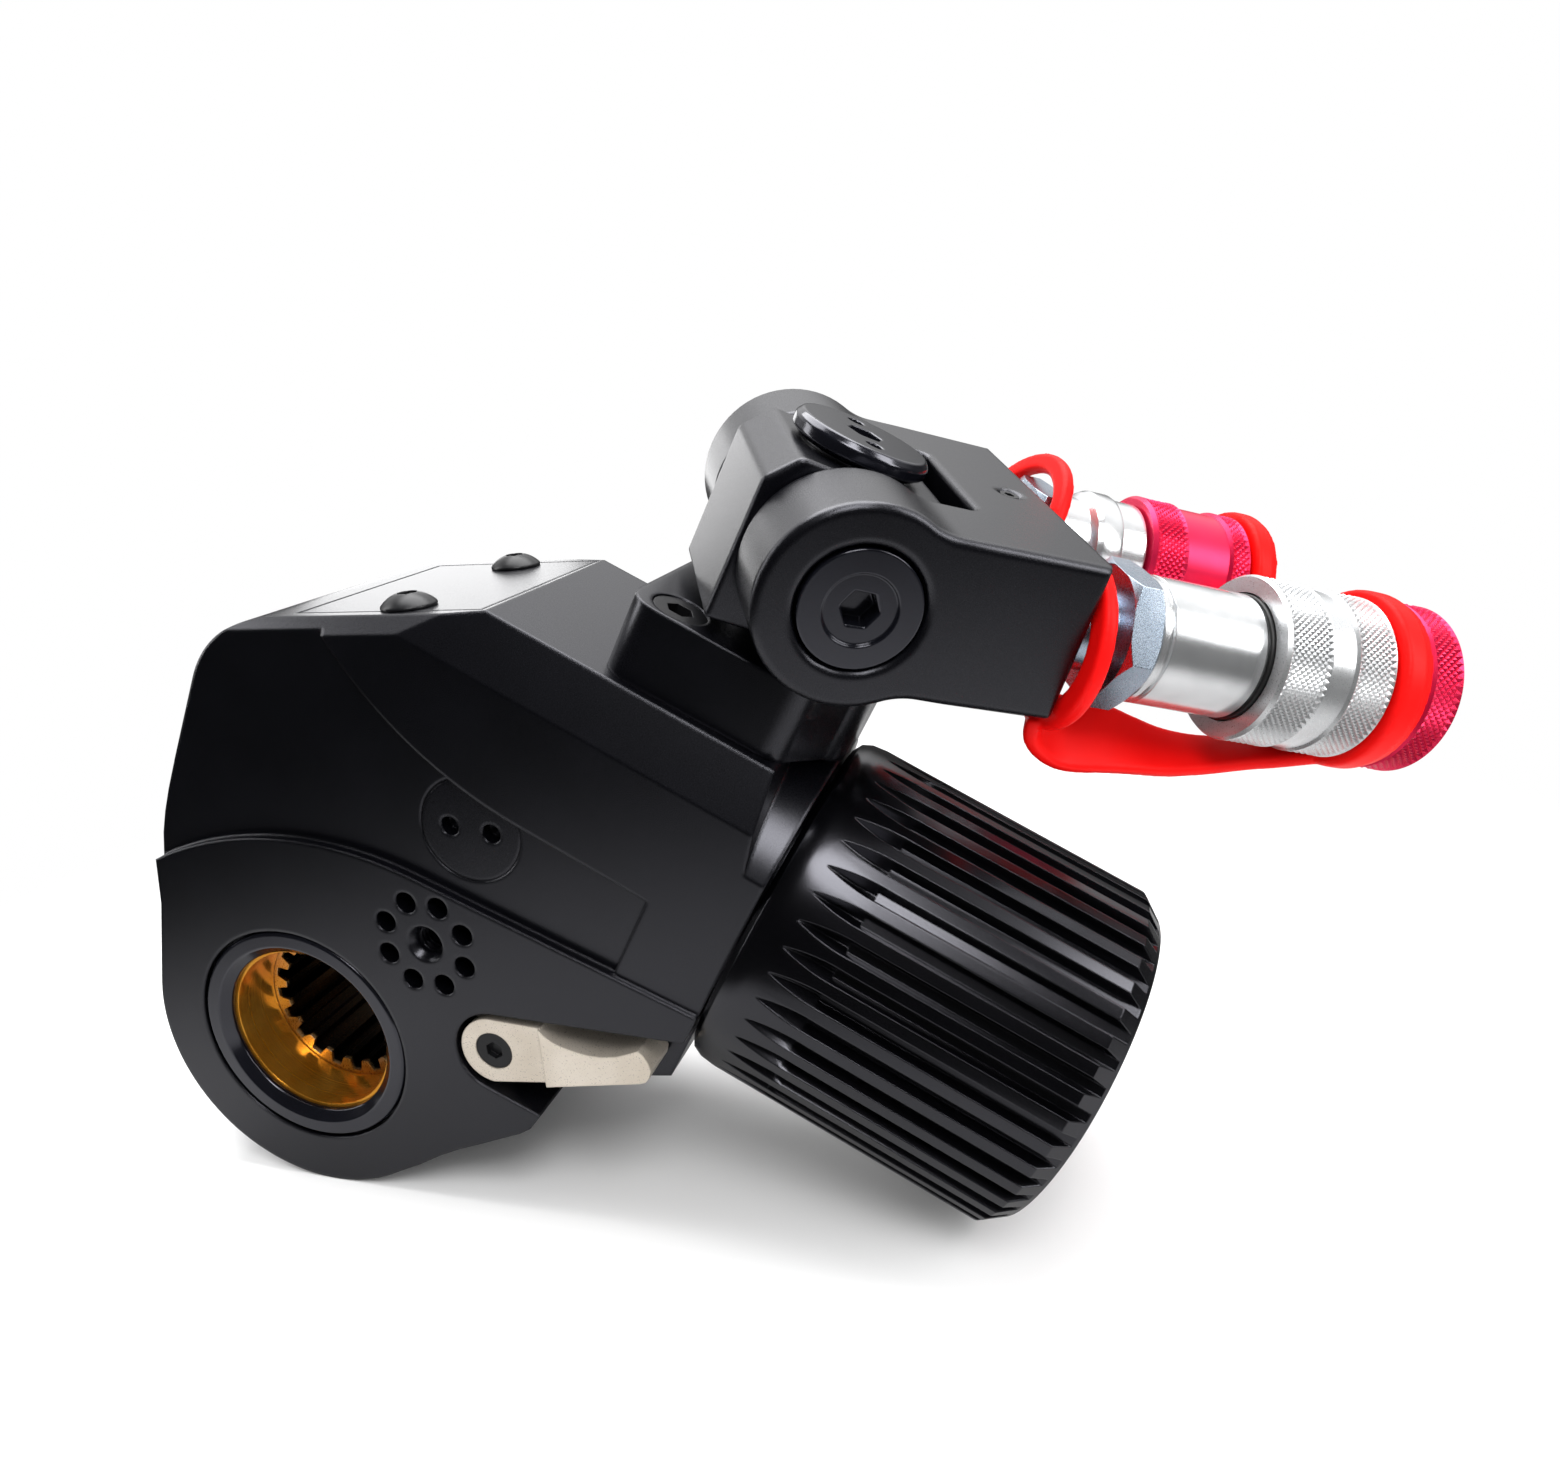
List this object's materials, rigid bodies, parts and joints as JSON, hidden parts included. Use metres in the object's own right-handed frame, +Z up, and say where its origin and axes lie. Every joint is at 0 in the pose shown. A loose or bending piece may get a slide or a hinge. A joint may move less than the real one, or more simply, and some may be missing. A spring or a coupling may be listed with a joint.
{
  "type": "hydraulic torque wrench",
  "caption": "Black hydraulic torque wrench with a splined drive bore, a splined reaction barrel, a nickel release lever and a fork swivel with two capped hose couplers.",
  "frame": {"origin": "centre of the drive bore, midway between its two bushes", "axes": "+Y along the drive axis to the far side, +Z up with the tool standing on its head and the rim of its barrel, +X towards the barrel"},
  "size_m": [0.2265, 0.1047, 0.1397],
  "materials": {
    "black_anodised": "satin hard-anodised black",
    "barrel_black": "semi-gloss hard-anodised black",
    "bronze": "turned bronze",
    "bronzed_steel": "bronze-coloured oiled steel",
    "dark_ring": "dark blued steel",
    "black_screw": "black oxide",
    "seal_rubber": "smooth nitrile rubber",
    "tool_steel": "hardened steel",
    "ground_steel": "ground and chromed",
    "spring_steel": "drawn wire",
    "polished_nickel": "polished nickel plate",
    "zinc_steel": "bright zinc plate",
    "nickel_steel": "satin nickel plate",
    "red_anodised": "crimson anodised, knurled",
    "red_rubber": "smooth red moulded rubber"
  },
  "bodies": {
    "housing": {"housing": "black_anodised", "front_cover": "black_anodised", "cover_screw_near": "black_screw", "cover_screw_far": "black_screw", "near_bush": "bronze", "far_bush": "bronze", "near_bush_ring": "dark_ring", "far_bush_ring": "dark_ring", "near_access_plug": "black_anodised", "far_access_plug": "black_anodised", "cylinder_barrel": "barrel_black", "end_cap": "black_anodised", "end_cap_seal": "seal_rubber", "rod_gland": "bronze", "gland_seal": "seal_rubber", "swivel_base": "black_anodised", "base_screw_1": "black_screw", "base_screw_2": "black_screw", "base_screw_3": "black_screw", "base_screw_4": "black_screw", "swivel_post": "tool_steel", "post_cap": "dark_ring", "pawl_return_spring": "spring_steel"},
    "crank": {"crank_plate_near": "tool_steel", "crank_plate_far": "tool_steel", "crank_bridge": "tool_steel", "crank_pin": "ground_steel", "pawl_spring_near": "spring_steel", "pawl_spring_far": "spring_steel"},
    "drive_pawl": {"drive_pawl": "tool_steel"},
    "ratchet": {"ratchet": "bronzed_steel"},
    "piston": {"piston": "ground_steel", "piston_seal": "seal_rubber", "piston_rod": "ground_steel"},
    "lever": {"lever_shaft": "tool_steel", "holding_pawl": "tool_steel", "release_lever": "polished_nickel", "lever_screw": "black_screw"},
    "swivel": {"swivel_block": "black_anodised", "post_seal_upper": "seal_rubber", "post_seal_lower": "seal_rubber"},
    "fork": {"yoke": "black_anodised", "trunnion_pin_near": "dark_ring", "trunnion_pin_far": "dark_ring", "port_plug": "black_screw", "near_adapter": "zinc_steel", "near_coupler_body": "nickel_steel", "near_oring": "seal_rubber", "near_strap": "red_rubber", "far_adapter": "zinc_steel", "far_nipple": "nickel_steel", "far_strap": "red_rubber"},
    "near_sleeve": {"near_sleeve": "nickel_steel"},
    "near_dust_plug": {"near_dust_plug": "red_anodised"},
    "far_dust_cap": {"far_dust_cap": "red_anodised"}
  },
  "joints": [
    {"name": "crank_swing", "type": "hinge", "parent": "housing", "child": "crank", "pos_m": [0, 0, 0], "axis": [0, -1, 0], "range_deg": [0, 24]},
    {"name": "piston_stroke", "type": "slide", "parent": "housing", "child": "piston", "axis": [-0.8746, 0, 0.4848], "range_m": [0, 0.02508]},
    {"name": "drive_pawl_lift", "type": "slide", "parent": "crank", "child": "drive_pawl", "axis": [0.6997, 0, 0.7145], "range_m": [0, 0.002], "stiffness_N_per_m": 1500, "springref_m": -0.004, "deforming": ["pawl_spring_near", "pawl_spring_far"]},
    {"name": "ratchet_turn", "type": "hinge", "parent": "crank", "child": "ratchet", "pos_m": [0, 0, 0], "axis": [0, -1, 0], "continuous": true},
    {"name": "lever_release", "type": "hinge", "parent": "housing", "child": "lever", "pos_m": [0.04036, 0, 0.00164], "axis": [0, 1, 0], "range_deg": [0, 12], "stiffness_Nm_per_rad": 0.3, "springref_deg": -17.19},
    {"name": "swivel_yaw", "type": "hinge", "parent": "housing", "child": "swivel", "pos_m": [0.09785, 0, 0.08639], "axis": [0.4848, 0, 0.8746], "continuous": true},
    {"name": "fork_pitch", "type": "hinge", "parent": "swivel", "child": "fork", "pos_m": [0.09785, 0, 0.08639], "axis": [0.416, -0.8796, -0.2306], "range_deg": [-17, 180], "deforming": ["near_strap", "far_strap"]},
    {"name": "near_sleeve_spin", "type": "hinge", "parent": "fork", "child": "near_sleeve", "pos_m": [0.16849, 0.01795, 0.05991], "axis": [0.8326, 0.4704, -0.2925], "continuous": true},
    {"name": "near_plug_pull", "type": "slide", "parent": "fork", "child": "near_dust_plug", "axis": [0.8326, 0.4704, -0.2925], "range_m": [0, 0.02]},
    {"name": "far_cap_pull", "type": "slide", "parent": "fork", "child": "far_dust_cap", "axis": [0.8326, 0.4704, -0.2925], "range_m": [0, 0.022]}
  ],
  "couplings": [
    {"joint": "piston_stroke", "follows": "crank_swing", "m_per_rad": 0.05985}
  ]
}
